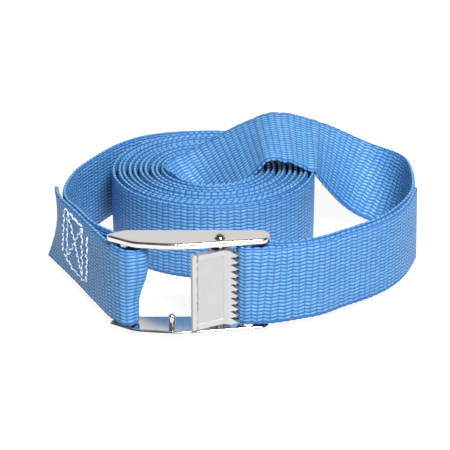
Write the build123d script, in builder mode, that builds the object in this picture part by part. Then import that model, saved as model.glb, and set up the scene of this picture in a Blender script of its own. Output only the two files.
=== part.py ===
from build123d import *
import os
from math import cos, pi, radians, sin

# A cam-buckle lashing strap. The webbing is wound into a coil that stands on its edge, with its
# buckle lying on one cheek in front of it. Millimetres, +Z up, origin on the ground under the
# middle of the object, +X along its longest side, and the buckle at -Y.

# ---- webbing
WEB_WIDTH = 25.0
WEB_THICK = 1.3
WEB_GAP = 0.1  # between the webbing and the bars that it goes round
COIL_CENTRE = (-6.9, 21.0)
COIL_OUTER_RADIUS = 33.0
COIL_HOLE_RADIUS = 15.4
INNER_TURN_RADIUS = 14.5  # middle of the webbing where it leaves the coil
WEB_MID_BUCKLE = 16.2  # height of the webbing's middle inside the buckle
WEB_MID_SEWN = 15.8  # and at the sewn end

# ---- buckle frame: two cheeks lie flat, one above the other, with the bars standing between them
CHEEK_THICK = 2.0
CHEEK_GAP = 26.6
CHEEK_EDGE_ROUND = 0.7
HEAD_HEIGHT = 0.9
HEAD_RADIUS = 1.75
HEAD_BALL_RADIUS = 2.6
UPPER_HEAD_HEIGHT = 1.25  # the head on the upper cheek is rounder and larger
UPPER_HEAD_RADIUS = 1.95
UPPER_HEAD_BALL_RADIUS = 2.15
LOWER_CHEEK_Z = HEAD_HEIGHT  # the axle's lower head rests on the ground
INNER_LOW_Z = LOWER_CHEEK_Z + CHEEK_THICK
INNER_HIGH_Z = INNER_LOW_Z + CHEEK_GAP
UPPER_CHEEK_TOP_Z = INNER_HIGH_Z + CHEEK_THICK
# each corner of the cheek's outline with the radius that rounds it, from the back edge on
CHEEK_CORNERS = [
    ((-32.5, -43.0), 6.0),
    ((10.5, -43.0), 3.0),
    ((10.5, -49.6), 3.0),
    ((-17.0, -53.7), 30.0),
    ((-29.5, -52.1), 10.0),
    ((-38.3, -46.5), 1.2),
]

CROSSBAR = (-31.6, -47.5)
CROSSBAR_RADIUS = 2.0
ANVIL = (4.2, -47.9)
ANVIL_RADIUS = 2.25
SPIGOT_RADIUS = 1.5
SPIGOT_DEPTH = 1.2
FIT_GAP = 0.03
STUD = (-18.5, -49.3)
STUD_RADIUS = 1.05
STUD_HEIGHT = 3.9
STUD_SPIGOT_RADIUS = 0.7

# ---- axle, cam lever and spring
AXLE = (-4.2, -48.4)
AXLE_RADIUS = 1.25
AXLE_CLEARANCE = 0.06
LEVER_HEIGHT = 24.0
LEVER_LOW_Z = WEB_MID_BUCKLE - LEVER_HEIGHT / 2
LEVER_HIGH_Z = WEB_MID_BUCKLE + LEVER_HEIGHT / 2
BARREL_RADIUS = 3.1
# plan of the lever: thumb plate's outer face, nose, back of the barrel, thumb plate's inner face
THUMB_OUTER = (-12.1, -55.3)
FACE_END = (-0.9, -49.6)
NOSE_FRONT = (-0.9, -51.1)
NOSE_BACK = (-0.3, -49.7)
THUMB_INNER = (-12.8, -53.3)
BARREL_TANGENT = (-2.6, -45.9)
THUMB_THICK = 1.9
THUMB_ROUND = 0.5
RECESS_DEPTH = 0.3
RECESS_RIM = 1.6
TOOTH_COUNT = 11
TOOTH_LENGTH = 2.4
TOOTH_WIDTH = 1.5
TOOTH_TIP = (1.75, -50.75)

SPRING_WIRE_RADIUS = 0.3
SPRING_COIL_RADIUS = 1.65
SPRING_PITCH = 0.68
SPRING_TURNS = 4
SPRING_STEPS = 10  # straight pieces in each turn
SPRING_POCKET_RADIUS = 2.05
SPRING_POCKET_DEPTH = 3.4
SPRING_LOW_Z = LEVER_HIGH_Z - 2.7
SPRING_LEG_RISE = 0.9
SPRING_HOLE_RADIUS = 0.45
SPRING_ARM = 0.9  # reach of the spring's lower end past its coil
SPRING_SLOT_WIDTH = 0.8
SPRING_SLOT_LENGTH = 2.7  # from the axle's line
SPRING_SLOT_CUTS = 4  # side by side, they leave room for the arm while the lever opens
LEVER_TRAVEL = 42
SPRING_END_ANGLE = 206

# ---- stitching of the sewn loop: half sizes along the strap (X) and across it (Y)
BOX_X = 10.0
BOX_Y = 9.2
CROSS_X = 6.0
THREAD_WIDTH = 0.55
THREAD_THICK = 0.3
STITCH_LENGTH = 2.4
STITCH_GAP = 0.3

os.makedirs("parts", exist_ok=True)


def save(piece, name):
    """Label a finished piece and write it under its own name."""
    piece.label = name
    export_step(piece, f"parts/{name}.step")


# =====================================================================================
# Webbing: each stretch is a flat band through stations (x, y, z, lean, towards): the middle
# of the band, and how far its upper edge leans from upright, in degrees, and which way.
# =====================================================================================
def upright(points, z_first, z_last):
    """Stations of an upright band through plan points, its middle climbing evenly."""
    last = len(points) - 1
    climb = z_last - z_first
    return [(x, y, z_first + climb * i / last, 0, 0) for i, (x, y) in enumerate(points)]


def round_bar(centre, radius, first, last, steps):
    """Plan points of the band's middle on its way round a bar, counter-clockwise."""
    turns = [radians(first + (last - first) * i / steps) for i in range(steps + 1)]
    return [(centre[0] + radius * cos(a), centre[1] + radius * sin(a)) for a in turns]


def station_plane(stations, i):
    """Section plane at station i: its X is through the band, its Y across the band."""
    x, y, z, lean, towards = stations[i]
    before = Vector(*stations[max(i - 1, 0)][:3])
    after = Vector(*stations[min(i + 1, len(stations) - 1)][:3])
    along = (after - before).normalized()
    side = sin(radians(lean))
    across = Vector(side * cos(radians(towards)), side * sin(radians(towards)), cos(radians(lean)))
    return Plane(origin=(x, y, z), x_dir=across.cross(along), z_dir=along)


def webbing(stations, name):
    """One stretch of the strap, lofted straight from station to station."""
    with BuildPart() as band:
        for i in range(len(stations)):
            with BuildSketch(station_plane(stations, i)):
                Rectangle(WEB_THICK, WEB_WIDTH)
        loft(ruled=True)
    save(band.part, name)


LOOP_RADIUS = CROSSBAR_RADIUS + WEB_GAP + WEB_THICK / 2
WRAP_RADIUS = ANVIL_RADIUS + WEB_GAP + WEB_THICK / 2

# The sewn end: a short flap lies in front, goes round the crossbar and becomes the long lead.
# Its third and second stations are the ends of the straight stretch that is sewn to the lead.
SEWN_END = [(-57.6, -1.6), (-55.3, -8.2), (-44.6, -29.6), (-40.6, -37.6)]
webbing(upright(SEWN_END, WEB_MID_SEWN, WEB_MID_SEWN), "strap_sewn_end")

loop_plan = [(-40.4, -38.0)] + round_bar(CROSSBAR, LOOP_RADIUS, 208, 395, 11) + [(-34.2, -39.6)]
webbing(upright(loop_plan, WEB_MID_SEWN, WEB_MID_BUCKLE), "strap_crossbar_loop")

# The lead runs from the loop up the left side and onto the coil's outermost turn at the back.
LEAD = [
    (-34.8, -38.9),
    (-39.4, -33.6),
    (-43.4, -28.6),
    (-47.8, -20.0),
    (-52.2, -11.2),
    (-53.6, -3.0),
    (-52.9, 6.6),
    (-50.6, 16.6),
    (-46.6, 26.2),
    (-41.6, 36.0),
    (-35.4, 44.2),
    (-27.6, 50.4),
    (-18.0, 53.7),
    (-8.6, 54.8),
]
webbing(upright(LEAD, 16.0, 12.6), "strap_lead")

# The coil: its turns lie close together, so one ring stands for them and the air between them.
with BuildPart() as coil:
    with BuildSketch(Plane.XY):
        with Locations(COIL_CENTRE):
            Circle(COIL_OUTER_RADIUS)
            Circle(COIL_HOLE_RADIUS, mode=Mode.SUBTRACT)
    extrude(amount=WEB_WIDTH)
save(coil.part, "strap_coil")

# The innermost turn leaves the others inside the hole, on its left.
inner_plan = round_bar(COIL_CENTRE, INNER_TURN_RADIUS, 260, 172, 8)
webbing(upright(inner_plan, WEB_WIDTH / 2, WEB_WIDTH / 2), "strap_inner_turn")

# The inner end climbs out of the hole, lies back over the rim and turns upright again on the right.
CROSSOVER = [
    (-19.0, 25.0, 12.6, 0, 90),
    (-14.0, 30.0, 14.0, 8, 110),
    (-8.0, 30.0, 17.4, 20, 100),
    (-2.4, 28.8, 22.0, 38, 92),
    (2.2, 27.2, 27.3, 54, 88),
    (7.4, 24.7, 32.3, 67, 88),
    (12.8, 26.7, 33.6, 70, 92),
    (19.3, 28.2, 32.1, 70, 90),
    (25.2, 27.4, 31.1, 69, 86),
    (31.0, 31.2, 27.0, 61, 78),
    (36.4, 34.0, 21.6, 55, 68),
    (41.8, 33.4, 18.2, 48, 56),
    (44.8, 33.8, 16.0, 39, 44),
    (48.4, 33.2, 14.4, 28, 28),
    (52.3, 28.4, 13.7, 18, 12),
    (55.8, 20.8, 13.9, 9, 10),
    (57.5, 9.8, 14.5, 3, 5),
    (57.3, -0.9, 15.0, 0, 0),
]
webbing(CROSSOVER, "strap_crossover")

# The load run goes back to the buckle, hidden behind the tail.
LOAD_RUN = [
    (57.1, -1.9),
    (55.2, -7.9),
    (51.0, -16.6),
    (44.3, -26.0),
    (37.8, -31.8),
    (31.2, -36.8),
    (25.0, -41.4),
    (18.8, -44.0),
    (12.6, -44.9),
]
webbing(upright(LOAD_RUN, 15.0, 16.1), "strap_load_run")

wrap_plan = [(11.6, -44.9)] + round_bar(ANVIL, WRAP_RADIUS, 90, 287, 11)
webbing(upright(wrap_plan, WEB_MID_BUCKLE, WEB_MID_BUCKLE), "strap_anvil_wrap")

# The tail is the free end, in front of the load run.
TAIL = [
    (6.0, -50.5),
    (13.9, -48.4),
    (20.0, -46.0),
    (26.1, -43.1),
    (32.4, -38.1),
    (38.9, -33.2),
    (45.5, -27.4),
    (52.5, -17.8),
    (56.6, -8.4),
    (58.7, -1.8),
]
webbing(upright(TAIL, 16.2, 15.0), "strap_tail")


# =====================================================================================
# Stitching: a box with a cross in it, its two ends sewn twice, on the face of the sewn end
# =====================================================================================
def stitches(corners):
    """Middle, length and direction of every stitch along a line of thread through the corners."""
    found = []
    for start, end in zip(corners, corners[1:]):
        run = Vector(*end) - Vector(*start)
        count = round(run.length / STITCH_LENGTH)
        for i in range(count):
            middle = Vector(*start) + run * ((i + 0.5) / count)
            found.append((middle, run.length / count - STITCH_GAP, Vector(1, 0).get_signed_angle(run)))
    return found


BOX_OUTLINE = [(-BOX_X, -BOX_Y), (-BOX_X, BOX_Y), (BOX_X, BOX_Y), (BOX_X, -BOX_Y), (-BOX_X, -BOX_Y)]
CROSS = [(-CROSS_X, BOX_Y), (-CROSS_X, -BOX_Y), (CROSS_X, BOX_Y), (CROSS_X, -BOX_Y)]
CROSS_BACK = [(-CROSS_X, BOX_Y), (CROSS_X, -BOX_Y)]

sewn_first = Vector(*SEWN_END[1], WEB_MID_SEWN)
sewn_last = Vector(*SEWN_END[2], WEB_MID_SEWN)
sewn_dir = (sewn_last - sewn_first).normalized()
sewn_out = sewn_dir.cross(Vector(0, 0, 1))
sewn_face = Plane(
    origin=(sewn_first + sewn_last) * 0.5 + sewn_out * (WEB_THICK / 2 + FIT_GAP),
    x_dir=sewn_dir,
    z_dir=sewn_out,
)
with BuildPart() as stitching:
    with BuildSketch(sewn_face):
        for corners in (BOX_OUTLINE, CROSS, CROSS_BACK):
            for middle, length, angle in stitches(corners):
                with Locations(Location((middle.X, middle.Y, 0), (0, 0, angle))):
                    Rectangle(length, THREAD_WIDTH)
    extrude(amount=THREAD_THICK)
save(stitching.part, "stitching")


# =====================================================================================
# Buckle frame
# =====================================================================================
def cheek_blank(low_z):
    """A cheek plate of the buckle, its edges rounded all the way."""
    with BuildPart() as blank:
        with BuildSketch(Plane.XY.offset(low_z)) as outline:
            with BuildLine():
                Polyline([corner for corner, _ in CHEEK_CORNERS], close=True)
            make_face()
            for corner, rounding in CHEEK_CORNERS:
                nearest = outline.vertices().sort_by_distance((*corner, low_z))[0]
                fillet(nearest, rounding)
        extrude(amount=CHEEK_THICK)
        flat_faces = blank.faces().filter_by(Axis.Z)
        fillet(flat_faces.edges(), CHEEK_EDGE_ROUND)
    return blank.part


def column(centre, radius, low_z, high_z, mode=Mode.ADD):
    """Add or cut a round pin between two heights."""
    with Locations((*centre, low_z)):
        Cylinder(radius, high_z - low_z, align=(Align.CENTER, Align.CENTER, Align.MIN), mode=mode)


spring_end = radians(SPRING_END_ANGLE)
SPRING_HOLE = (
    AXLE[0] + SPRING_COIL_RADIUS * cos(spring_end),
    AXLE[1] + SPRING_COIL_RADIUS * sin(spring_end),
)
SPIGOT_FLOOR_Z = INNER_LOW_Z - SPIGOT_DEPTH - FIT_GAP
SPIGOT_CEILING_Z = INNER_HIGH_Z + SPIGOT_DEPTH + FIT_GAP
SPRING_HOLE_END_Z = INNER_HIGH_Z + SPRING_LEG_RISE + FIT_GAP

with BuildPart() as cheek_lower:
    add(cheek_blank(LOWER_CHEEK_Z))
    for bar in (CROSSBAR, ANVIL):
        column(bar, SPIGOT_RADIUS + FIT_GAP, SPIGOT_FLOOR_Z, INNER_LOW_Z, Mode.SUBTRACT)
    column(STUD, STUD_SPIGOT_RADIUS + FIT_GAP, SPIGOT_FLOOR_Z, INNER_LOW_Z, Mode.SUBTRACT)
    column(AXLE, AXLE_RADIUS + FIT_GAP, LOWER_CHEEK_Z, INNER_LOW_Z, Mode.SUBTRACT)
save(cheek_lower.part, "cheek_lower")

with BuildPart() as cheek_upper:
    add(cheek_blank(INNER_HIGH_Z))
    for bar in (CROSSBAR, ANVIL):
        column(bar, SPIGOT_RADIUS + FIT_GAP, INNER_HIGH_Z, SPIGOT_CEILING_Z, Mode.SUBTRACT)
    column(SPRING_HOLE, SPRING_HOLE_RADIUS, INNER_HIGH_Z, SPRING_HOLE_END_Z, Mode.SUBTRACT)
    column(AXLE, AXLE_RADIUS + FIT_GAP, INNER_HIGH_Z, UPPER_CHEEK_TOP_Z, Mode.SUBTRACT)
save(cheek_upper.part, "cheek_upper")


def frame_bar(centre, radius, name):
    """A bar between the cheeks, with a spigot at each end set into a blind hole."""
    with BuildPart() as bar:
        column(centre, radius, INNER_LOW_Z, INNER_HIGH_Z)
        column(centre, SPIGOT_RADIUS, INNER_LOW_Z - SPIGOT_DEPTH, INNER_HIGH_Z + SPIGOT_DEPTH)
    save(bar.part, name)


frame_bar(CROSSBAR, CROSSBAR_RADIUS, "crossbar")
frame_bar(ANVIL, ANVIL_RADIUS, "anvil_bar")

with BuildPart() as guide_stud:
    column(STUD, STUD_RADIUS, INNER_LOW_Z, INNER_LOW_Z + STUD_HEIGHT)
    fillet(guide_stud.faces().sort_by(Axis.Z)[-1].edges(), STUD_RADIUS * 0.9)
    column(STUD, STUD_SPIGOT_RADIUS, INNER_LOW_Z - SPIGOT_DEPTH, INNER_LOW_Z + STUD_HEIGHT / 2)
save(guide_stud.part, "guide_stud")


# =====================================================================================
# Axle with its two riveted heads
# =====================================================================================
def rivet_head(low_z, high_z, radius, ball_z, ball_radius):
    """A domed head on the axle's line: a short cylinder cut by a ball centred at ball_z."""
    with BuildPart() as head:
        column(AXLE, radius, low_z, high_z)
        with Locations((*AXLE, ball_z)):
            Sphere(ball_radius, mode=Mode.INTERSECT)
    return head.part


with BuildPart() as axle:
    column(AXLE, AXLE_RADIUS, LOWER_CHEEK_Z, UPPER_CHEEK_TOP_Z)
save(axle.part, "axle")
lower_head = rivet_head(0, HEAD_HEIGHT, HEAD_RADIUS, HEAD_BALL_RADIUS, HEAD_BALL_RADIUS)
save(lower_head, "rivet_head_lower")
upper_head_z = UPPER_CHEEK_TOP_Z + UPPER_HEAD_HEIGHT
upper_ball_z = upper_head_z - UPPER_HEAD_BALL_RADIUS
upper_head = rivet_head(UPPER_CHEEK_TOP_Z, upper_head_z, UPPER_HEAD_RADIUS, upper_ball_z, UPPER_HEAD_BALL_RADIUS)
save(upper_head, "rivet_head_upper")


# =====================================================================================
# Cam lever: one casting with the thumb plate, the barrel round the axle and the toothed nose
# =====================================================================================
reach = Vector(*TOOTH_TIP) - Vector(*AXLE)
reach_dir = reach.normalized()
tooth_root = Vector(*AXLE) + reach_dir * (reach.length - TOOTH_LENGTH)
tooth_pitch = LEVER_HEIGHT / TOOTH_COUNT
face_run = Vector(*FACE_END) - Vector(*THUMB_OUTER)
face_dir = face_run.normalized()
face_out = face_dir.cross(Vector(0, 0, 1))
face_middle = (Vector(*FACE_END) + Vector(*THUMB_OUTER)) * 0.5 + Vector(0, 0, WEB_MID_BUCKLE)
face_plane = Plane(origin=face_middle, x_dir=face_dir, z_dir=face_out)
comb_plane = Plane(
    origin=tooth_root + Vector(0, 0, WEB_MID_BUCKLE),
    x_dir=reach_dir,
    z_dir=reach_dir.cross(Vector(0, 0, 1)),
)
plate_back = Vector(*FACE_END) - face_out * THUMB_THICK

# the nose's toothed edge as a zigzag, from its lowest notch to its highest
comb = [(-TOOTH_LENGTH, -LEVER_HEIGHT / 2), (0, -LEVER_HEIGHT / 2)]
for i in range(TOOTH_COUNT):
    notch_z = -LEVER_HEIGHT / 2 + i * tooth_pitch
    comb += [(TOOTH_LENGTH, notch_z + tooth_pitch / 2), (0, notch_z + tooth_pitch)]
comb += [(-TOOTH_LENGTH, LEVER_HEIGHT / 2)]

with BuildPart() as cam_lever:
    with BuildSketch(Plane.XY.offset(LEVER_LOW_Z)):
        with BuildLine():
            Polyline([THUMB_OUTER, FACE_END, (plate_back.X, plate_back.Y), THUMB_INNER], close=True)
        make_face()
        with Locations(AXLE):
            Circle(BARREL_RADIUS)
    extrude(amount=LEVER_HEIGHT)
    # the barrel doesn't stand out of the thumb plate's outer face
    with BuildSketch(face_plane):
        Rectangle(2 * face_run.length, 2 * LEVER_HEIGHT)
    extrude(amount=BARREL_RADIUS, mode=Mode.SUBTRACT)
    thumb_edges = cam_lever.edges().filter_by(Axis.Z).sort_by_distance((*THUMB_OUTER, WEB_MID_BUCKLE))[:2]
    fillet(thumb_edges, THUMB_ROUND)
    # shallow panel sunk in the outer face
    with BuildSketch(face_plane):
        Rectangle(face_run.length - 2 * RECESS_RIM, LEVER_HEIGHT - 2 * RECESS_RIM)
    extrude(amount=-RECESS_DEPTH, mode=Mode.SUBTRACT)
    with BuildSketch(Plane.XY.offset(LEVER_LOW_Z)):
        with BuildLine():
            Polyline([FACE_END, NOSE_FRONT, NOSE_BACK, BARREL_TANGENT, AXLE], close=True)
        make_face()
    extrude(amount=LEVER_HEIGHT)
    with BuildSketch(comb_plane):
        with BuildLine():
            Polyline(comb, close=True)
        make_face()
    extrude(amount=TOOTH_WIDTH)
    column(AXLE, AXLE_RADIUS + AXLE_CLEARANCE, LEVER_LOW_Z, LEVER_HIGH_Z, Mode.SUBTRACT)
    column(AXLE, SPRING_POCKET_RADIUS, LEVER_HIGH_Z - SPRING_POCKET_DEPTH, LEVER_HIGH_Z, Mode.SUBTRACT)
    # slot for the spring's lower arm, in the pocket's wall
    with BuildSketch(Plane.XY.offset(LEVER_HIGH_Z)):
        for cut in range(SPRING_SLOT_CUTS):
            cut_angle = SPRING_END_ANGLE + LEVER_TRAVEL * cut / (SPRING_SLOT_CUTS - 1)
            with Locations(Location((*AXLE, 0), (0, 0, cut_angle))):
                Rectangle(SPRING_SLOT_LENGTH, SPRING_SLOT_WIDTH, align=(Align.MIN, Align.CENTER))
    extrude(amount=-SPRING_POCKET_DEPTH, mode=Mode.SUBTRACT)
save(cam_lever.part, "cam_lever")


# =====================================================================================
# Torsion spring: arm in the lever's slot, coil in the pocket, end up in the cheek
# =====================================================================================
def spring_path():
    """Middle of the spring's wire, as straight pieces."""
    arm_end = SPRING_COIL_RADIUS + SPRING_ARM
    points = [Vector(AXLE[0] + arm_end * cos(spring_end), AXLE[1] + arm_end * sin(spring_end), SPRING_LOW_Z)]
    for i in range(SPRING_TURNS * SPRING_STEPS + 1):
        turn = i / SPRING_STEPS
        angle = spring_end + turn * 2 * pi
        x = AXLE[0] + SPRING_COIL_RADIUS * cos(angle)
        y = AXLE[1] + SPRING_COIL_RADIUS * sin(angle)
        points.append(Vector(x, y, SPRING_LOW_Z + turn * SPRING_PITCH))
    points.append(Vector(*SPRING_HOLE, INNER_HIGH_Z + SPRING_LEG_RISE))
    return points


with BuildPart() as torsion_spring:
    wire = spring_path()
    for start, end in zip(wire, wire[1:]):
        with BuildSketch(Plane(origin=start, z_dir=end - start)):
            Circle(SPRING_WIRE_RADIUS)
        extrude(amount=(end - start).length)
    for corner in wire[1:-1]:
        with Locations(corner):
            Sphere(SPRING_WIRE_RADIUS)
save(torsion_spring.part, "torsion_spring")
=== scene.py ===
import random
from math import cos, hypot, pi, radians, sin

import bmesh
import bpy
import numpy as np
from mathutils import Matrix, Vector


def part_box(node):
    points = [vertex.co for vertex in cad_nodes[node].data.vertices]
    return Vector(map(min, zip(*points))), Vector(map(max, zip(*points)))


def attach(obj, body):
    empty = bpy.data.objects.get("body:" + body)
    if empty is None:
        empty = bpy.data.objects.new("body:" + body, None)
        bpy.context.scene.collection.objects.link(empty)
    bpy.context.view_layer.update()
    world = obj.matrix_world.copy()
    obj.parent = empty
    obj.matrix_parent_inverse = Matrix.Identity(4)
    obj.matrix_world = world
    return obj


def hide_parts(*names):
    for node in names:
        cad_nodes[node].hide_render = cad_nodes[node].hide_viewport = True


# A coiled lashing strap with a cam buckle. Metres, in the frame of the CAD model: +Z up, the origin
# on the ground under the middle of the object, the buckle at -Y.

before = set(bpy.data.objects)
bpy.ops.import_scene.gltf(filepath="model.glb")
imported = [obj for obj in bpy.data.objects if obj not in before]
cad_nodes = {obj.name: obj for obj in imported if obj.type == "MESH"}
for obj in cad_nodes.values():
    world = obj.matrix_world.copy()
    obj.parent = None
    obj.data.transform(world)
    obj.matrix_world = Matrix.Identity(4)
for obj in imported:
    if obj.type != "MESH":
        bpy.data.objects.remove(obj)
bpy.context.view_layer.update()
FIXED_BODY = "strap_and_frame"
LEVER_BODY = "lever"
SEED = 7


def box_middle(node):
    """Middle of a CAD node's box."""
    low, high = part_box(node)
    return (low + high) * 0.5


# =====================================================================================
# Camera
# =====================================================================================
CAMERA_PLACE = (-0.0027, -0.4841, 0.2317)
CAMERA_TILT = radians(65.74)  # from looking straight down
CAMERA_LENS = 131.6  # millimetres, on a 36 mm sensor

camera_data = bpy.data.cameras.new("camera")
camera_data.lens = CAMERA_LENS
camera_data.sensor_width = 36
camera_data.clip_start = 0.01
camera = bpy.data.objects.new("camera", camera_data)
camera.location = CAMERA_PLACE
camera.rotation_euler = (CAMERA_TILT, 0, 0)
bpy.context.scene.collection.objects.link(camera)
bpy.context.scene.camera = camera

# =====================================================================================
# Webbing: one band from the sewn end to the cut end of the tail
# =====================================================================================
WIDTH = 0.025
THICK = 0.00125
ROWS = 22  # of yarn across the width
COLUMN = 0.0021  # spacing of the ribs along the strap
BAR_GAP = 0.0001  # between the webbing and a bar
SECTIONS_PER_COLUMN = 4
FACE_STEPS = 7  # faces of the mesh across the strap
EDGE_STEPS = 4  # and round its selvedge
FINE_STEPS = 40  # points for each station where a spline's length is measured
RIB_HEIGHT = 0.00005
SCALLOP = 0.00007  # how far the selvedge's loops stand out

# middles of the band's upright stations
SEWN_END = [
    (-0.0576, -0.0016, 0.0156),
    (-0.0553, -0.0082, 0.0156),
    (-0.0500, -0.0188, 0.0156),
    (-0.0446, -0.0296, 0.0156),
    (-0.0408, -0.0371, 0.0156),
]
LEAD = [
    (-0.0394, -0.0336, 0.0156),
    (-0.0434, -0.0286, 0.0156),
    (-0.0478, -0.0200, 0.0157),
    (-0.0522, -0.0112, 0.0154),
    (-0.0536, -0.0030, 0.0151),
    (-0.0529, 0.0066, 0.0148),
    (-0.0506, 0.0166, 0.0145),
    (-0.0466, 0.0262, 0.0141),
    (-0.0416, 0.0360, 0.0138),
    (-0.0354, 0.0442, 0.0135),
    (-0.0276, 0.0504, 0.0131),
    (-0.0180, 0.0537, 0.0128),
    (-0.0086, 0.0548, 0.0127),
]
# where the upper and the lower edge of the inner end should pass on its way out of the coil's hole,
# over the rim and round to the right side
CROSSOVER = [
    ((-0.0214, 0.0210, 0.0254), (-0.0183, 0.0165, 0.0025)),
    ((-0.0200, 0.0271, 0.0259), (-0.0143, 0.0157, 0.0055)),
    ((-0.0175, 0.0320, 0.0270), (-0.0108, 0.0155, 0.0095)),
    ((-0.0133, 0.0353, 0.0278), (-0.0074, 0.0156, 0.0134)),
    ((-0.0074, 0.0349, 0.0300), (-0.0034, 0.0151, 0.0168)),
    ((-0.0007, 0.0359, 0.0335), (0.0013, 0.0146, 0.0217)),
    ((0.0051, 0.0365, 0.0370), (0.0056, 0.0142, 0.0260)),
    ((0.0105, 0.0373, 0.0388), (0.0092, 0.0138, 0.0298)),
    ((0.0158, 0.0380, 0.0391), (0.0145, 0.0146, 0.0304)),
    ((0.0250, 0.0396, 0.0359), (0.0226, 0.0160, 0.0271)),
    ((0.0346, 0.0404, 0.0323), (0.0306, 0.0190, 0.0188)),
    ((0.0402, 0.0410, 0.0297), (0.0342, 0.0215, 0.0141)),
    ((0.0472, 0.0405, 0.0262), (0.0385, 0.0240, 0.0092)),
    ((0.0540, 0.0355, 0.0253), (0.0449, 0.0250, 0.0042)),
    ((0.0580, 0.0250, 0.0262), (0.0540, 0.0215, 0.0019)),
    ((0.0583, 0.0098, 0.0270), (0.0573, 0.0098, 0.0020)),
]
LOAD_RUN = [
    (0.0573, -0.0009, 0.0150),
    (0.0552, -0.0079, 0.0152),
    (0.0510, -0.0166, 0.0153),
    (0.0443, -0.0260, 0.0155),
    (0.0378, -0.0318, 0.0156),
    (0.0312, -0.0368, 0.0157),
    (0.0250, -0.0414, 0.0159),
    (0.0188, -0.0440, 0.0160),
    (0.0116, -0.0449, 0.0161),
]
TAIL = [
    (0.0139, -0.0484, 0.0161),
    (0.0200, -0.0460, 0.0160),
    (0.0261, -0.0431, 0.0158),
    (0.0324, -0.0381, 0.0157),
    (0.0389, -0.0332, 0.0155),
    (0.0455, -0.0274, 0.0154),
    (0.0525, -0.0178, 0.0152),
    (0.0566, -0.0084, 0.0151),
    (0.0587, -0.0018, 0.0150),
]
# heights of the webbing's middle round the two bars and in the coil
LOOP_Z = 0.0159
ANVIL_Z = 0.0167
COIL_Z = 0.0127
# the way round each bar: first and last angle in degrees, counter-clockwise, and steps
CROSSBAR_WAY = (215, 385, 6)
ANVIL_WAY = (92, 280, 7)

COIL_FIRST_RADIUS = 0.03384
COIL_LAST_RADIUS = 0.0145
COIL_FIRST_ANGLE = 92.9  # degrees; the angle falls as the coil winds inwards
COIL_LAST_ANGLE = 196 - 360 * 11
COIL_STEP = 24  # degrees between stations
# the unevenness below grows over the first 1/8 of the coil and dies away over the last 1/12
COIL_EASE_IN = 8
COIL_EASE_OUT = 12
COIL_SHIFT = -0.0003  # of the turns from the ring's middle
TURN_PAIRING = 0.00017  # how far each second turn leans on its neighbour at the front
# waves as their size, number in each turn and phase
RADIUS_WAVES = [(0.00010, 0.31, 1.0), (0.00008, 0.83, 0.0)]
HEIGHT_WAVE = (0.00018, 0.73, 0.5)


def upright(middles):
    """Stations of an upright band: its middle, then the direction to its upper edge."""
    return [(x, y, z, 0.0, 0.0, 1.0) for x, y, z in middles]


def round_bar(node, way, z):
    """Stations on the band's way round a bar of the buckle."""
    first, last, steps = way
    low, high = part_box(node)
    middle = (low + high) * 0.5
    radius = (high.x - low.x) / 2 + BAR_GAP + THICK / 2
    turns = [radians(first + (last - first) * i / steps) for i in range(steps + 1)]
    return upright([(middle.x + radius * cos(a), middle.y + radius * sin(a), z) for a in turns])


def wave(size, number, phase, angle):
    """Height of a wave that has the given number of periods in each turn."""
    return size * sin(number * angle + phase)


def coil_stations():
    """The coil's turns, wound inwards and clockwise, neither quite round nor evenly spaced."""
    middle = box_middle("strap_coil")
    count = round((COIL_FIRST_ANGLE - COIL_LAST_ANGLE) / COIL_STEP)
    found = []
    for i in range(1, count + 1):
        share = i / count
        angle = radians(COIL_FIRST_ANGLE + (COIL_LAST_ANGLE - COIL_FIRST_ANGLE) * share)
        ease = min(1, COIL_EASE_IN * share, COIL_EASE_OUT * (1 - share))
        radius = COIL_FIRST_RADIUS + (COIL_LAST_RADIUS - COIL_FIRST_RADIUS) * share
        radius += ease * sum(wave(*waves, angle) for waves in RADIUS_WAVES)
        radius += ease * TURN_PAIRING * cos(angle / 2 + pi / 4)
        x = middle.x + COIL_SHIFT * ease + radius * cos(angle)
        y = middle.y + radius * sin(angle)
        z = COIL_Z + ease * (HEIGHT_WAVE[0] + wave(*HEIGHT_WAVE, angle))
        found.append((x, y, z))
    return upright(found)


# ---- splines
def smooth_through(knots, values):
    """Second derivatives at the knots of a natural cubic spline through values."""
    gaps = np.diff(knots)
    count = len(knots)
    system = np.eye(count)
    right = np.zeros_like(values)
    for i in range(1, count - 1):
        system[i, i - 1] = gaps[i - 1]
        system[i, i] = 2 * (gaps[i - 1] + gaps[i])
        system[i, i + 1] = gaps[i]
        ahead = (values[i + 1] - values[i]) / gaps[i]
        behind = (values[i] - values[i - 1]) / gaps[i - 1]
        right[i] = 6 * (ahead - behind)
    return np.linalg.solve(system, right)


def spline_at(knots, values, bends, where):
    """Points of the spline at the parameters in where."""
    i = np.clip(np.searchsorted(knots, where, side="right") - 1, 0, len(knots) - 2)
    gap = (knots[i + 1] - knots[i])[:, None]
    b = (where - knots[i])[:, None] / gap
    a = 1 - b
    curved = ((a**3 - a) * bends[i] + (b**3 - b) * bends[i + 1]) * gap**2 / 6
    return a * values[i] + b * values[i + 1] + curved


def evenly(stations, spacing):
    """Stations of a smooth band through the given ones, about spacing apart, and their distances."""
    values = np.array(stations)
    chords = np.linalg.norm(np.diff(values[:, :3], axis=0), axis=1)
    knots = np.concatenate([[0], np.cumsum(chords)])
    bends = smooth_through(knots, values)
    fine = np.linspace(0, knots[-1], FINE_STEPS * len(knots))
    line = spline_at(knots, values, bends, fine)[:, :3]
    lengths = np.concatenate([[0], np.cumsum(np.linalg.norm(np.diff(line, axis=0), axis=1))])
    distances = np.linspace(0, lengths[-1], round(lengths[-1] / spacing) + 1)
    return spline_at(knots, values, bends, np.interp(distances, lengths, fine)), distances


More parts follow.
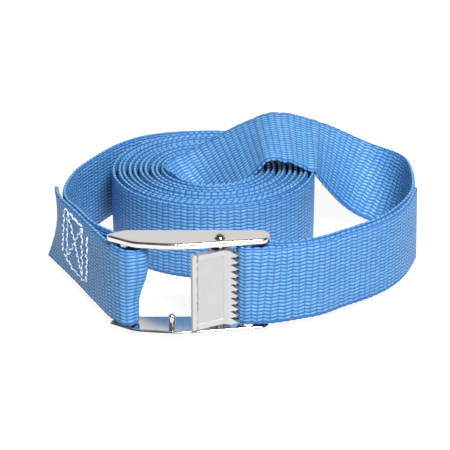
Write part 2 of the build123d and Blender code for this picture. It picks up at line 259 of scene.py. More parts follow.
# ---- the crossover settles as a ribbon that can bend and twist but not stretch
SETTLE_ROUNDS = 1500
SETTLE_LENGTH_ROUNDS = 3  # corrections of the lengths in each round
SETTLE_GUIDE = 0.05  # how strongly the ribbon is held to its guides
SETTLE_STIFFNESS = 0.08
SETTLE_PUSH = 0.5  # share of the way out of the coil that is made in one round
SETTLE_PINNED = 3  # sections at each end that stay
FROM_COIL = 3  # stations of the coil that lead into the crossover
FROM_LOAD_RUN = 2  # stations of the load run that it leads into
FLOOR_CLEAR = 0.0001
COIL_TOP_CLEAR = 0.0257  # lowest height over the coil's turns
COIL_INSIDE = 0.0152  # largest radius in the coil's hole
COIL_OUTSIDE = 0.0346  # smallest radius round the coil
# a point this deep in the coil goes to the hole or the side, if its radius is outside this range
COIL_SIDE_DEPTH = 0.003
COIL_MIDDLE_TURNS = (0.019, 0.031)
CLEARED_POINTS = 5  # across the ribbon
TINY = 1e-9  # keeps a pair of pinned points from a division by nothing


def keep_apart(first, second, length, free_first, free_second):
    """Move each pair of points along its own line until it is length apart."""
    gap = second - first
    size = np.linalg.norm(gap, axis=1)[:, None]
    share = np.maximum(free_first + free_second, TINY)
    move = gap * ((size - length) / size) / share
    return first + move * free_first, second - move * free_second


def clear_of_coil(point, middle):
    """Shift that brings each point above the coil, into its hole or outside it."""
    out = point[:, :2] - middle
    radius = np.linalg.norm(out, axis=1)
    hit = (point[:, 2] < COIL_TOP_CLEAR) & (radius > COIL_INSIDE) & (radius < COIL_OUTSIDE)
    deep = hit & (point[:, 2] < COIL_TOP_CLEAR - COIL_SIDE_DEPTH)
    to_hole = deep & (radius < COIL_MIDDLE_TURNS[0])
    to_side = deep & (radius > COIL_MIDDLE_TURNS[1])
    lift = hit & ~to_hole & ~to_side
    shift = np.zeros_like(point)
    shift[lift, 2] = COIL_TOP_CLEAR - point[lift, 2]
    for chosen, wanted in ((to_hole, COIL_INSIDE), (to_side, COIL_OUTSIDE)):
        shift[chosen, :2] = out[chosen] * (wanted / radius[chosen] - 1)[:, None]
    return shift


def settled_crossover(before, guides, after):
    """Stations of the crossover between the coil's last stations and the load run's first ones."""
    as_stations = []
    for upper, lower in guides:
        middle = (Vector(upper) + Vector(lower)) * 0.5
        as_stations.append((*middle, *(Vector(upper) - Vector(lower)).normalized()))
    rows, _ = evenly(before + as_stations + after, COLUMN)
    half_across = rows[:, 3:] / np.linalg.norm(rows[:, 3:], axis=1)[:, None] * (WIDTH / 2)
    upper, lower = rows[:, :3] + half_across, rows[:, :3] - half_across
    upper_guide, lower_guide = upper.copy(), lower.copy()
    free = np.ones((len(rows), 1))
    free[:SETTLE_PINNED] = 0
    free[-SETTLE_PINNED:] = 0
    coil_middle = np.array(box_middle("strap_coil")[:2])
    diagonal = hypot(WIDTH, COLUMN)
    last = len(rows) - 1
    for _ in range(SETTLE_ROUNDS):
        for edge, guide in ((upper, upper_guide), (lower, lower_guide)):
            bend = (edge[:-2] + edge[2:]) / 2 - edge[1:-1]
            edge[1:-1] += SETTLE_STIFFNESS * bend * free[1:-1]
            edge += SETTLE_GUIDE * (guide - edge) * free
        for _ in range(SETTLE_LENGTH_ROUNDS):
            for a, b, length in (
                (upper, upper, COLUMN),
                (lower, lower, COLUMN),
                (upper, lower, diagonal),
                (lower, upper, diagonal),
            ):
                for start in (0, 1):
                    i = np.arange(start, last, 2)
                    a[i], b[i + 1] = keep_apart(a[i], b[i + 1], length, free[i], free[i + 1])
            upper[:], lower[:] = keep_apart(upper, lower, WIDTH, free, free)
        for share in np.linspace(0, 1, CLEARED_POINTS):
            point = upper * (1 - share) + lower * share
            shift = clear_of_coil(point, coil_middle) * free * SETTLE_PUSH
            spread = share**2 + (1 - share) ** 2
            upper += shift * (1 - share) / spread
            lower += shift * share / spread
        np.maximum(lower[:, 2], FLOOR_CLEAR, out=lower[:, 2])
    across = (upper - lower) / WIDTH
    return [tuple(row) for row in np.hstack([(upper + lower) / 2, across])]


def route():
    """Every station of the strap, from the sewn end to the cut end."""
    coil = coil_stations()
    load_run = upright(LOAD_RUN)
    return (
        upright(SEWN_END)
        + round_bar("crossbar", CROSSBAR_WAY, LOOP_Z)
        + upright(LEAD)
        + coil[:-FROM_COIL]
        + settled_crossover(coil[-FROM_COIL:], CROSSOVER, load_run[:FROM_LOAD_RUN])
        + load_run[FROM_LOAD_RUN:]
        + round_bar("anvil_bar", ANVIL_WAY, ANVIL_Z)
        + upright(TAIL)
    )


def band_line():
    """Middles, and the along, across and face directions, of even sections, and their distances."""
    rows, distances = evenly(route(), COLUMN / SECTIONS_PER_COLUMN)
    middles = rows[:, :3]
    along = np.gradient(middles, axis=0)
    along /= np.linalg.norm(along, axis=1)[:, None]
    across = rows[:, 3:] - along * np.sum(rows[:, 3:] * along, axis=1)[:, None]
    across /= np.linalg.norm(across, axis=1)[:, None]
    return middles, along, across, np.cross(along, across), distances


# ---- the flap's free end curls, the tail's end leans, and the loop stands off the crossbar at its
# upper right
CURL_LENGTH = 0.013  # along the strap from its end
CURL_OUT = 0.00045  # of the whole end outwards
CURL_TILT = 0.00135  # of the lower corner outwards and of the upper one inwards
CURL_CUP = 0.0020  # of the end's middle inwards
CURL_SKEW = 0.0011  # of the corners along the strap
TAIL_LEAN = 0.0009  # of the tail's upper corner, inwards
TAIL_LEAN_LENGTH = 0.03
LOOP_STANDOFF = 0.0031
LOOP_REACH = 0.0036  # along the strap
LOOP_LOW = -0.5  # share of the half width where the stand-off begins
LOOP_HIGH = 0.45  # and where it is full


def band_profile():
    """Points round the band's section, each through it and across it, from -1 to 1."""
    half = WIDTH / 2
    round_off = THICK / 2
    flat = half - round_off
    face = [(1.0, (-flat + 2 * flat * j / FACE_STEPS) / half) for j in range(FACE_STEPS + 1)]
    turns = [pi / 2 - pi * j / EDGE_STEPS for j in range(1, EDGE_STEPS)]
    edge = [(sin(a), (flat + round_off * cos(a)) / half) for a in turns]
    back = [(-through, -across) for through, across in face]
    far_edge = [(-through, -across) for through, across in edge]
    return face + edge + back + far_edge


def end_cap(around):
    """The faces that close the band's first section, as corners, from one selvedge to the other."""
    front_last = FACE_STEPS + EDGE_STEPS // 2
    caps = []
    for j in range(-(EDGE_STEPS // 2), front_last):
        near, far = 2 * front_last - j, 2 * front_last - j - 1
        caps.append(tuple(dict.fromkeys(corner % around for corner in (j, j + 1, far, near))))
    return caps


def soft_shifts(middles, distance, side):
    """How far each point of the band leaves its flat section, outwards and along."""
    curl = np.clip(1 - distance / CURL_LENGTH, 0, 1)[:, None] ** 2
    outwards = curl * (CURL_OUT - CURL_TILT * side - CURL_CUP * (1 - side**2))
    leaning = np.clip(1 - (distance[-1] - distance) / TAIL_LEAN_LENGTH, 0, 1)[:, None] ** 2
    outwards = outwards - TAIL_LEAN * leaning * (side + 1) / 2
    low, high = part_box("crossbar")
    near_bar = np.hypot(middles[:, 0] - high.x, middles[:, 1] - (low.y + high.y) / 2)
    from_bar = (distance - distance[np.argmin(near_bar)])[:, None]
    raised = np.clip((side - LOOP_LOW) / (LOOP_HIGH - LOOP_LOW), 0, 1)
    raised = raised**2 * (3 - 2 * raised)
    outwards = outwards + LOOP_STANDOFF * np.exp(-((from_bar / LOOP_REACH) ** 2)) * raised
    return outwards, curl * CURL_SKEW * side


def make_webbing(band):
    """The strap as one mesh. A UV layer holds each point's column and row of the weave, and another
    holds how far through the band it is."""
    middles, along, across, out, distance = band
    profile = np.array(band_profile())
    sections, around = len(middles), len(profile)
    ribs = np.cos(2 * pi * distance / COLUMN)[:, None]
    through, side = profile[:, 0], profile[:, 1]
    at_edge = np.where(np.abs(through) < 1, np.sign(side), 0)
    outwards, forwards = soft_shifts(middles, distance, side)
    outwards = outwards + through * (THICK / 2 + RIB_HEIGHT * ribs)
    upwards = side * (WIDTH / 2) + at_edge * SCALLOP * ribs
    points = (
        middles[:, None, :]
        + out[:, None, :] * outwards[:, :, None]
        + across[:, None, :] * upwards[:, :, None]
        + along[:, None, :] * forwards[:, :, None]
    )
    faces = []
    for i in range(sections - 1):
        a, b = i * around, (i + 1) * around
        for j in range(around):
            k = (j + 1) % around
            faces.append((a + j, b + j, b + k, a + k))
    last = (sections - 1) * around
    for cap in end_cap(around):
        faces.append(cap)
        faces.append(tuple(last + corner for corner in reversed(cap)))
    mesh = bpy.data.meshes.new("webbing_strap")
    mesh.from_pydata(points.reshape(-1, 3).tolist(), [], faces)
    mesh.shade_smooth()
    columns = np.repeat(distance / COLUMN, around)
    rows = np.tile((side + 1) / 2 * ROWS, sections)
    corners = np.zeros(len(mesh.loops), dtype=np.int32)
    mesh.loops.foreach_get("vertex_index", corners)
    for name, first in (("weave", columns), ("section", np.tile(through, sections))):
        layer = mesh.uv_layers.new(name=name)
        layer.data.foreach_set("uv", np.stack([first[corners], rows[corners]], axis=1).ravel())
    piece = bpy.data.objects.new("webbing_strap", mesh)
    bpy.context.scene.collection.objects.link(piece)
    return piece


# ---- sewing thread of the loop: each row runs between two places on the flap, given as millimetres
# from the strap's end and above its middle line
MILLIMETRE = 0.001
STITCH_ROWS = [
    ((14.6, 10.4), (11.6, -5.4)),
    ((17.2, 10.4), (14.9, -6.2)),
    ((28.8, 9.4), (27.4, -7.4)),
    ((32.6, 8.2), (31.0, -7.4)),
    ((17.4, 10.2), (27.2, -7.2)),
    ((15.2, -5.8), (28.6, 9.2)),
    ((15.0, 10.5), (28.4, 9.8)),
    ((12.4, -5.9), (20.2, -8.4)),
    ((20.6, -8.4), (30.6, -8.0)),
]
STITCH = 0.00185  # length of one stitch
THREAD_RADIUS = 0.00027
THREAD_SINK = 0.00022  # of a stitch's ends into the webbing
THREAD_ARCH = 0.00052  # height of a stitch's middle over its ends
THREAD_ARCH_RANGE = (0.85, 1.15)  # its least and greatest share
THREAD_ARCH_POWER = 0.7  # below 1, the arch is flatter than half a sine wave
THREAD_SWAY = 0.00034  # of a stitch's middle to one side, the next one's to the other
THREAD_SWAY_RANGE = (0.6, 1.4)
THREAD_RINGS = 7
THREAD_SIDES = 8


def flap_point(band, distance, height):
    """Place on the flap's outer face, and the directions along, across and out of it."""
    middles, along, across, out, distances = band
    place, ahead, up, outwards = (
        np.array([np.interp(distance, distances, part[:, i]) for i in range(3)])
        for part in (middles, along, across, out)
    )
    shift, forwards = soft_shifts(middles, distances, np.array([height / (WIDTH / 2)]))
    lifted = np.interp(distance, distances, shift[:, 0]) + THICK / 2
    pushed = np.interp(distance, distances, forwards[:, 0])
    return place + outwards * lifted + up * height + ahead * pushed, ahead, up, outwards


def add_tube(points, faces, rings):
    """Add a closed tube through rings of corners."""
    base = len(points)
    for ring in rings:
        points.extend(ring)
    for i in range(len(rings) - 1):
        a = base + i * THREAD_SIDES
        for corner in range(THREAD_SIDES):
            b = (corner + 1) % THREAD_SIDES
            faces.append((a + corner, a + b, a + THREAD_SIDES + b, a + THREAD_SIDES + corner))
    faces.append(tuple(base + corner for corner in reversed(range(THREAD_SIDES))))
    far = base + (len(rings) - 1) * THREAD_SIDES
    faces.append(tuple(far + corner for corner in range(THREAD_SIDES)))


def stitch_rings(band, first, step, run, sway, arch):
    """Rings of one stitch: it starts at first on the flap, is as long as step and goes along run."""
    rings = []
    for ring in range(THREAD_RINGS):
        share = ring / (THREAD_RINGS - 1)
        bow = sin(pi * share)
        middle, ahead, up, outwards = flap_point(band, *(first + step * share + sway * bow))
        sideways = up * run[0] - ahead * run[1]
        height = arch * bow**THREAD_ARCH_POWER - THREAD_SINK
        corners = []
        for corner in range(THREAD_SIDES):
            turn = 2 * pi * corner / THREAD_SIDES
            offset = sideways * cos(turn) + outwards * sin(turn)
            corners.append(tuple(middle + outwards * height + offset * THREAD_RADIUS))
        rings.append(corners)
    return rings


def make_stitching(band):
    """Every stitch is a thin arched tube whose ends sink into the webbing."""
    rng = random.Random(SEED)
    points, faces = [], []
    for first, last in STITCH_ROWS:
        start, end = (np.array(place) * MILLIMETRE for place in (first, last))
        length = np.linalg.norm(end - start)
        run = (end - start) / length
        side = np.array([-run[1], run[0]])
        count = round(length / STITCH)
        step = (end - start) / count
        for stitch in range(count):
            sway = THREAD_SWAY * (-1) ** stitch * rng.uniform(*THREAD_SWAY_RANGE)
            arch = THREAD_ARCH * rng.uniform(*THREAD_ARCH_RANGE)
            rings = stitch_rings(band, start + step * stitch, step, run, side * sway, arch)
            add_tube(points, faces, rings)
    mesh = bpy.data.meshes.new("stitching_thread")
    mesh.from_pydata(points, [], faces)
    mesh.shade_smooth()
    piece = bpy.data.objects.new("stitching_thread", mesh)
    bpy.context.scene.collection.objects.link(piece)
    return piece


# ---- cam lever
LEVER_BEVEL = 0.00012
BEVEL_SEGMENTS = 2
SHARP_ANGLE = radians(30)  # an edge that turns more than this is bevelled
FLAT_ANGLE = radians(2)  # faces that turn less than this become one
SAME_PLACE = 0.000001  # points that are closer than this become one


def bevelled_copy(node, name, width):
    """A CAD node's mesh with its sharp edges rounded."""
    source = cad_nodes[node]
    mesh = source.data.copy()
    mesh.name = name
    shape = bmesh.new()
    shape.from_mesh(mesh)
    bmesh.ops.remove_doubles(shape, verts=shape.verts, dist=SAME_PLACE)
    bmesh.ops.dissolve_limit(shape, angle_limit=FLAT_ANGLE, verts=shape.verts, edges=shape.edges)
    shape.to_mesh(mesh)
    shape.free()
    piece = bpy.data.objects.new(name, mesh)
    piece.matrix_world = source.matrix_world.copy()
    bpy.context.scene.collection.objects.link(piece)
    bevel = piece.modifiers.new("rounded_edges", "BEVEL")
    bevel.width = width
    bevel.segments = BEVEL_SEGMENTS
    bevel.limit_method = "ANGLE"
    bevel.angle_limit = SHARP_ANGLE
    mesh.shade_flat()
    return piece


strap_band = band_line()
strap = make_webbing(strap_band)
thread = make_stitching(strap_band)
lever = bevelled_copy("cam_lever", "cam_lever_casting", LEVER_BEVEL)


# =====================================================================================
# Materials
# =====================================================================================
def new_material(name):
    """A material with an empty node tree but for its output and shader."""
    material = bpy.data.materials.new(name)
    material.use_nodes = True
    tree = material.node_tree
    tree.nodes.clear()
    output = tree.nodes.new("ShaderNodeOutputMaterial")
    shader = tree.nodes.new("ShaderNodeBsdfPrincipled")
    tree.links.new(shader.outputs[0], output.inputs["Surface"])
    return material, tree, shader


class Nodes:
    """Short calls that add and link nodes of one tree. A value is a number, a colour or another
    node's output."""

    def __init__(self, tree):
        self.tree = tree

    def put(self, socket, value):
        """Link value to the socket if it is another node's output, or else set it."""
        if isinstance(value, bpy.types.NodeSocket):
            self.tree.links.new(value, socket)
        else:
            socket.default_value = value

    def math(self, operation, a, b=0.0, c=0.0):
        node = self.tree.nodes.new("ShaderNodeMath")
        node.operation = operation
        for socket, value in zip(node.inputs, (a, b, c)):
            self.put(socket, value)
        return node.outputs[0]

    def plus(self, a, b):
        return self.math("ADD", a, b)

    def minus(self, a, b):
        return self.math("SUBTRACT", a, b)

    def times(self, a, b):
        return self.math("MULTIPLY", a, b)

    def times_plus(self, a, b, c):
        return self.math("MULTIPLY_ADD", a, b, c)

    def positive(self, a):
        return self.math("ABSOLUTE", a)

    def noise(self, where, scale=1.0, detail=2.0, roughness=0.5):
        node = self.tree.nodes.new("ShaderNodeTexNoise")
        self.put(node.inputs["Vector"], where)
        node.inputs["Scale"].default_value = scale
        node.inputs["Detail"].default_value = detail
        node.inputs["Roughness"].default_value = roughness
        return node.outputs["Fac"]

    def remap(self, value, low, high, to_low=0.0, to_high=1.0):
        """The range from low to high made into another one, and held within it."""
        node = self.tree.nodes.new("ShaderNodeMapRange")
        node.clamp = True
        node.inputs["From Min"].default_value = low
        node.inputs["From Max"].default_value = high
        node.inputs["To Min"].default_value = to_low
        node.inputs["To Max"].default_value = to_high
        self.put(node.inputs["Value"], value)
        return node.outputs["Result"]

    def mix(self, share, a, b):
        """Colour a where share is 0 and colour b where it is 1."""
        node = self.tree.nodes.new("ShaderNodeMix")
        node.data_type = "RGBA"
        self.put(node.inputs["Factor"], share)
        self.put(node.inputs[6], a)
        self.put(node.inputs[7], b)
        return node.outputs[2]

    def vector(self, x, y, z=0.0):
        node = self.tree.nodes.new("ShaderNodeCombineXYZ")
        for socket, value in zip(node.inputs, (x, y, z)):
            self.put(socket, value)
        return node.outputs[0]

    def split(self, vector):
        node = self.tree.nodes.new("ShaderNodeSeparateXYZ")
        self.put(node.inputs[0], vector)
        return node.outputs

    def uv(self, name):
        """The two coordinates of a UV layer, and a zero."""
        node = self.tree.nodes.new("ShaderNodeUVMap")
        node.uv_map = name
        return self.split(node.outputs[0])

    def place(self):
        """The point in its object's own frame."""
        return self.tree.nodes.new("ShaderNodeTexCoord").outputs["Object"]

    def bump(self, height, distance):
        node = self.tree.nodes.new("ShaderNodeBump")
        node.inputs["Distance"].default_value = distance
        node.inputs["Strength"].default_value = 1.0
        self.put(node.inputs["Height"], height)
        return node.outputs[0]


def colour(red, green, blue):
    """A linear colour from its usual 0 to 255 values, by the sRGB curve."""
    found = []
    for part in (red, green, blue):
        share = part / 255
        found.append(share / 12.92 if share <= 0.04045 else ((share + 0.055) / 1.055) ** 2.4)
    return (*found, 1.0)


NOISE_SPAN = (0.3, 0.7)  # most of a noise's values lie in it

# the blue dye with painted shade for the gaps between yarns, and the blue dye with a painted highlight
# for the yarns' tops
GAP_DYE_AND_SHADE = colour(0, 72, 146)
YARN_DYE_AND_HIGHLIGHT = colour(94, 151, 190)
YARN_SHINE = colour(196, 222, 255)
CHEVRON_SLANT = 0.32  # rows that the yarns climb in one column
# ranges of the weave's waves, and the heights that they become
YARN_SHAPE = (0.2, 0.95, 0.1, 1.0)
RIB_SHAPE = (0.05, 0.72, 0.42, 1.0)
LOOP_SHAPE = (0.15, 0.65, 0.1, 1.25)
LOOP_FADE_AND_SHADE = (0.5, 0.9, 1.0, 0.0)  # from the selvedge's middle to the band's faces: the loops flatten there, and this paints shade in the gaps between the coil's turns
EDGE_ROWS = (0.75, 0.5)  # rows from the edge where the weave starts to fade and where it is gone
LOOP_SLANT = 0.1  # columns that a loop of the selvedge leans in half the thickness
FILAMENT_RELIEF = 0.22  # of the fine filaments, as a share of the yarns' height
# scales of the noises for each column and row
FILAMENT_SCALE = (1.6, 6.0)
SINGLE_SCALE = (0.9, 1.3)
PATCH_SCALE = (0.07, 0.12)
SINGLE_LIGHT = (0.72, 1.1)  # darkest and lightest yarn
PATCH_LIGHT = (0.9, 1.06)
WEAVE_SPAN = (0.1, 1.1)  # heights of the gaps and of the yarns' tops
WEAVE_ROUGHNESS = (0.66, 0.47)  # there
WEAVE_SPECULAR = 0.9
WEAVE_DEPTH = 0.00022


def weave_pattern(n, columns, rows, through):
    """Height of the yarns: floats in chevrons, and at the selvedge one loop for each column."""
    zigzag = n.math("PINGPONG", n.plus(columns, 0.5), 1.0)
    row_phase = n.times_plus(zigzag, CHEVRON_SLANT, rows)
    yarn = n.positive(n.math("SINE", n.times(row_phase, pi)))
    rib = n.positive(n.math("COSINE", n.times(columns, pi)))
    floats = n.times(n.remap(yarn, *YARN_SHAPE), n.remap(rib, *RIB_SHAPE))
    from_middle = n.positive(n.minus(rows, ROWS / 2))
    at_edge = n.remap(from_middle, ROWS / 2 - EDGE_ROWS[0], ROWS / 2 - EDGE_ROWS[1])
    loop_phase = n.times_plus(through, LOOP_SLANT, columns)
    loop = n.positive(n.math("COSINE", n.times(loop_phase, pi)))
    # the loops fade towards the band's faces, which flattens them and paints shade between the coil's
    # turns
    loop_fade_and_shade = n.remap(n.positive(through), *LOOP_FADE_AND_SHADE)
    edge_loop = n.times(n.remap(loop, *LOOP_SHAPE), loop_fade_and_shade)
    return n.plus(n.times(floats, n.minus(1.0, at_edge)), n.times(edge_loop, at_edge))


def woven_noise(n, columns, rows, scale, through=0.0, detail=2.0):
    """A noise that follows the weave."""
    return n.noise(n.vector(n.times(columns, scale[0]), n.times(rows, scale[1]), through), detail=detail)


def webbing_material():
    """Sky-blue polyester webbing: yarn tops painted lighter as a highlight, with painted shade in the
    gaps between its rows and its columns.
    """
    material, tree, shader = new_material("webbing_polyester")
    n = Nodes(tree)
    columns, rows, _ = n.uv("weave")
    through, _, _ = n.uv("section")
    pattern = weave_pattern(n, columns, rows, through)
    filaments = woven_noise(n, columns, rows, FILAMENT_SCALE, through, detail=3.0)
    single = woven_noise(n, columns, rows, SINGLE_SCALE, detail=1.0)
    patches = woven_noise(n, columns, rows, PATCH_SCALE)
    height = n.times_plus(filaments, FILAMENT_RELIEF, pattern)
    single_light = n.remap(single, *NOISE_SPAN, *SINGLE_LIGHT)
    patch_light = n.remap(patches, *NOISE_SPAN, *PATCH_LIGHT)
    # the gaps painted dark as shade and the yarns' tops painted light as a highlight; each yarn and patch
    # is also lighter or darker at random
    lit = n.times(n.remap(height, *WEAVE_SPAN), n.times(single_light, patch_light))
    n.put(shader.inputs["Base Color"], n.mix(lit, GAP_DYE_AND_SHADE, YARN_DYE_AND_HIGHLIGHT))
    n.put(shader.inputs["Roughness"], n.remap(height, *WEAVE_SPAN, *WEAVE_ROUGHNESS))
    n.put(shader.inputs["Normal"], n.bump(height, WEAVE_DEPTH))
    shader.inputs["Specular IOR Level"].default_value = WEAVE_SPECULAR
    shader.inputs["Specular Tint"].default_value = YARN_SHINE
    return material


THREAD_LIGHT = colour(232, 236, 250)
THREAD_SHADE = colour(176, 190, 222)
THREAD_TWIST = 0.0007  # pitch of the plies
TWIST_SHARE = 0.5  # of the plies and of the fuzz in the thread's relief
FUZZ_SHARE = 0.6
FUZZ_SCALE = 3000
PLY_SPAN = (-0.3, 0.8)  # heights of the grooves and of the plies' tops
THREAD_ROUGHNESS = (0.75, 0.55)  # there
THREAD_SHEEN = 0.2
THREAD_DEPTH = 0.00005


def thread_material():
    """White polyester thread with the slanting plies of its twist."""
    material, tree, shader = new_material("sewing_thread_white")
    n = Nodes(tree)
    x, y, z = n.split(n.place())
    twist = n.math("SINE", n.times(n.plus(n.plus(x, y), z), 2 * pi / THREAD_TWIST))
    fuzz = n.noise(n.place(), scale=FUZZ_SCALE, detail=3.0)
    ply = n.times_plus(fuzz, FUZZ_SHARE, n.times(twist, TWIST_SHARE))
    n.put(shader.inputs["Base Color"], n.mix(n.remap(ply, *PLY_SPAN), THREAD_SHADE, THREAD_LIGHT))
    n.put(shader.inputs["Roughness"], n.remap(ply, *PLY_SPAN, *THREAD_ROUGHNESS))
    n.put(shader.inputs["Normal"], n.bump(ply, THREAD_DEPTH))
    shader.inputs["Sheen Weight"].default_value = THREAD_SHEEN
    return material


METAL_CLOUDS = 260  # scale of the noise that shades the metal
LEAST_ROUGH = 0.8  # share of a metal's roughness where it is smoothest
MOST_ROUGH = 1.25  # and where it is roughest


def metal_material(name, tint, roughness, grain, bump, shade=0.9):
    """Metal with fine unevenness in its gloss and surface: grain is the scale of the fine noise, bump
    its depth, and shade the darkest patches' share of the tint."""
    material, tree, shader = new_material(name)
    n = Nodes(tree)
    place = n.place()
    cloudy = n.noise(place, scale=METAL_CLOUDS, detail=4.0)
    fine = n.noise(place, scale=grain, detail=5.0, roughness=0.6)
    darker = [part * shade for part in tint[:3]] + [1.0]
    n.put(shader.inputs["Base Color"], n.mix(n.remap(cloudy, *NOISE_SPAN), tint, darker))
    shader.inputs["Metallic"].default_value = 1.0
    gloss = n.remap(fine, *NOISE_SPAN, roughness * LEAST_ROUGH, roughness * MOST_ROUGH)
    n.put(shader.inputs["Roughness"], gloss)
    n.put(shader.inputs["Normal"], n.bump(fine, bump))
    return material


# the lever's outer face in plan, from the corner at its thumb end to the one at its nose
LEVER_THUMB = (-0.0121, -0.0553)
LEVER_NOSE = (-0.0009, -0.0496)
LEVER_RIM = 0.0016  # width of the rim round the sunken panel
LEVER_PANEL = (0.0001, 0.0002)  # depths between which the rim turns into the panel
STEP_SHADE_WIDTH = (0.0001, 0.0005)  # distances from the rim's inner edge where the painted shade begins to fade and where it ends
LEVER_LIGHT = colour(214, 213, 212)
LEVER_SHADE = colour(206, 205, 205)
PANEL_COLOUR = colour(196, 196, 197)
PANEL_SHARE = 0.6  # of that colour in the panel
RIM_ROUGHNESS = (0.32, 0.42)
PANEL_ROUGHER = 0.16  # than the rim
CAST_DEPTH = 0.00001  # of the casting's grain
CAST_GRAIN = 2200  # scales of the noises
CAST_CLOUDS = 240
SHADE_BREAK_SCALE = (1400, 420)  # along the face and up it
SHADE_BREAK_SHAPE = (0.42, 0.62, 0.15, 1.0)  # range of the noise that breaks up the painted shade, and how strong the shade is
# colour of the painted shade along the step from the rim into the panel
STEP_SHADE_COLOUR = colour(118, 114, 110)


def lever_material():
    """Cast zinc: a polished rim round a duller sunken panel, with broken painted shade along the step
    from the rim into the panel at the thumb end."""
    material, tree, shader = new_material("cast_zinc_satin")
    n = Nodes(tree)
    x, y, z = n.split(n.place())
    right, back = n.minus(x, LEVER_THUMB[0]), n.minus(y, LEVER_THUMB[1])
    run = (Vector(LEVER_NOSE) - Vector(LEVER_THUMB)).normalized()
    across = n.plus(n.times(right, run.x), n.times(back, run.y))
    inwards = n.minus(n.times(back, run.x), n.times(right, run.y))
    sunken = n.remap(inwards, *LEVER_PANEL)
    grain = n.noise(n.place(), scale=CAST_GRAIN, detail=5.0, roughness=0.6)
    cloudy = n.noise(n.place(), scale=CAST_CLOUDS, detail=4.0)
    on_face = n.vector(n.times(across, SHADE_BREAK_SCALE[0]), n.times(z, SHADE_BREAK_SCALE[1]))
    shade_breaks = n.noise(on_face, detail=3.0)
    # painted shade along the step from the rim down into the panel, broken up by noise
    near_rim = n.remap(n.positive(n.minus(across, LEVER_RIM)), *STEP_SHADE_WIDTH, 1.0, 0.0)
    step_shade = n.times(near_rim, n.remap(shade_breaks, *SHADE_BREAK_SHAPE))
    base = n.mix(n.remap(cloudy, *NOISE_SPAN), LEVER_LIGHT, LEVER_SHADE)
    base = n.mix(n.times(sunken, PANEL_SHARE), base, PANEL_COLOUR)
    n.put(shader.inputs["Base Color"], n.mix(step_shade, base, STEP_SHADE_COLOUR))
    shader.inputs["Metallic"].default_value = 1.0
    gloss = n.times_plus(sunken, PANEL_ROUGHER, n.remap(grain, *NOISE_SPAN, *RIM_ROUGHNESS))
    n.put(shader.inputs["Roughness"], gloss)
    n.put(shader.inputs["Normal"], n.bump(grain, CAST_DEPTH))
    return material


webbing = webbing_material()
sewing_thread = thread_material()
zinc_plate = metal_material(
    "zinc_plate_bright", colour(232, 230, 226), roughness=0.14, grain=1500, bump=0.000002, shade=0.96
)
rivet_steel = metal_material(
    "rivet_steel_bright", colour(228, 226, 222), roughness=0.12, grain=1500, bump=0.000003
)
cast_zinc = lever_material()
spring_steel = metal_material(
    "spring_steel_drawn", colour(150, 152, 158), roughness=0.25, grain=2600, bump=0.00001
)

# =====================================================================================
# What rides with what, and the CAD nodes' own finishes
# =====================================================================================
strap.data.materials.append(webbing)
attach(strap, FIXED_BODY)
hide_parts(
    "strap_sewn_end",
    "strap_crossbar_loop",
    "strap_lead",
    "strap_coil",
    "strap_inner_turn",
    "strap_crossover",
    "strap_load_run",
    "strap_anvil_wrap",
    "strap_tail",
)
thread.data.materials.append(sewing_thread)
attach(thread, FIXED_BODY)
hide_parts("stitching")

lever.data.materials.clear()
lever.data.materials.append(cast_zinc)
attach(lever, LEVER_BODY)
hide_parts("cam_lever")

for node, material in (
    ("cheek_lower", zinc_plate),
    ("cheek_upper", zinc_plate),
    ("crossbar", zinc_plate),
    ("anvil_bar", zinc_plate),
    ("guide_stud", rivet_steel),
    ("axle", rivet_steel),
    ("rivet_head_lower", rivet_steel),
    ("rivet_head_upper", rivet_steel),
    ("torsion_spring", spring_steel),
):
    for material_slot in cad_nodes[node].material_slots:
        material_slot.material = material

# =====================================================================================
# Floor and lights
# =====================================================================================
FLOOR_SIZE = 6.0
FLOOR_GREY = 0.16
FLOOR_GLOW = 0.9
FLOOR_ROUGHNESS = 0.9
FLOOR_SPECULAR = 0.1
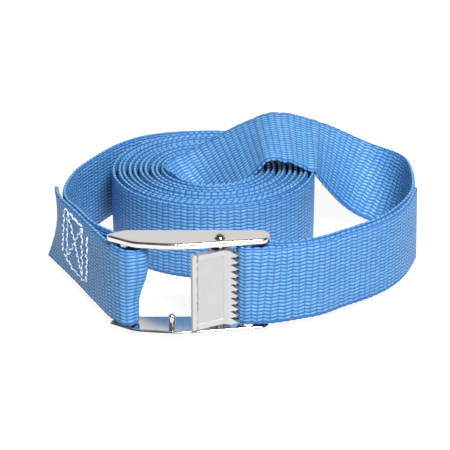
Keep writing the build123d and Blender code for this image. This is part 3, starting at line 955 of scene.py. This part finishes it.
# the strength of the world's light near the horizon and overhead
HORIZON_LIGHT = 0.83
OVERHEAD_LIGHT = 0.3
HORIZON_TOP = 0.5  # sine of the elevation up to which the light is the horizon's
OVERHEAD_FROM = 0.8  # and from which it is the overhead one
FRONT_SHARE = 0.15  # of that light on the camera's side
BACK_FROM = 0.5  # how far back a direction points where it gets all of the light
OBJECT_MIDDLE = (0, 0, 0.015)
KEY_PLACE = (0.3, -0.85, 1.0)
KEY_SIZE = 0.42
KEY_POWER = 37  # watts


def make_floor():
    """A plain white floor, lit partly by its own glow."""
    mesh = bpy.data.meshes.new("floor")
    half = FLOOR_SIZE / 2
    corners = [(-half, -half, 0), (half, -half, 0), (half, half, 0), (-half, half, 0)]
    mesh.from_pydata(corners, [], [(0, 1, 2, 3)])
    floor = bpy.data.objects.new("floor", mesh)
    bpy.context.scene.collection.objects.link(floor)
    material, _, shader = new_material("floor_white")
    shader.inputs["Base Color"].default_value = (FLOOR_GREY, FLOOR_GREY, FLOOR_GREY, 1)
    shader.inputs["Emission Color"].default_value = (1, 1, 1, 1)
    shader.inputs["Emission Strength"].default_value = FLOOR_GLOW
    shader.inputs["Roughness"].default_value = FLOOR_ROUGHNESS
    shader.inputs["Specular IOR Level"].default_value = FLOOR_SPECULAR
    mesh.materials.append(material)


def add_softbox(name, place, target, size, power):
    """A square area light that faces target."""
    data = bpy.data.lights.new(name, "AREA")
    data.shape = "SQUARE"
    data.size = size
    data.energy = power
    light = bpy.data.objects.new(name, data)
    light.location = place
    light.rotation_euler = (Vector(target) - Vector(place)).to_track_quat("-Z", "Y").to_euler()
    bpy.context.scene.collection.objects.link(light)


def make_world():
    """White light from all round, strong near the horizon, weaker overhead and weakest in front."""
    world = bpy.data.worlds.new("studio")
    world.use_nodes = True
    tree = world.node_tree
    n = Nodes(tree)
    direction = tree.nodes.new("ShaderNodeTexCoord").outputs["Generated"]
    _, depth, climb = n.split(direction)
    background = tree.nodes["Background"]
    background.inputs["Color"].default_value = (1, 1, 1, 1)
    ring = n.remap(climb, HORIZON_TOP, OVERHEAD_FROM, HORIZON_LIGHT, OVERHEAD_LIGHT)
    from_back = n.remap(depth, 0.0, BACK_FROM, FRONT_SHARE, 1.0)
    n.put(background.inputs["Strength"], n.times(ring, from_back))
    bpy.context.scene.world = world


make_floor()
make_world()
add_softbox("key_softbox", KEY_PLACE, OBJECT_MIDDLE, KEY_SIZE, KEY_POWER)
bpy.context.scene.view_settings.view_transform = "Standard"
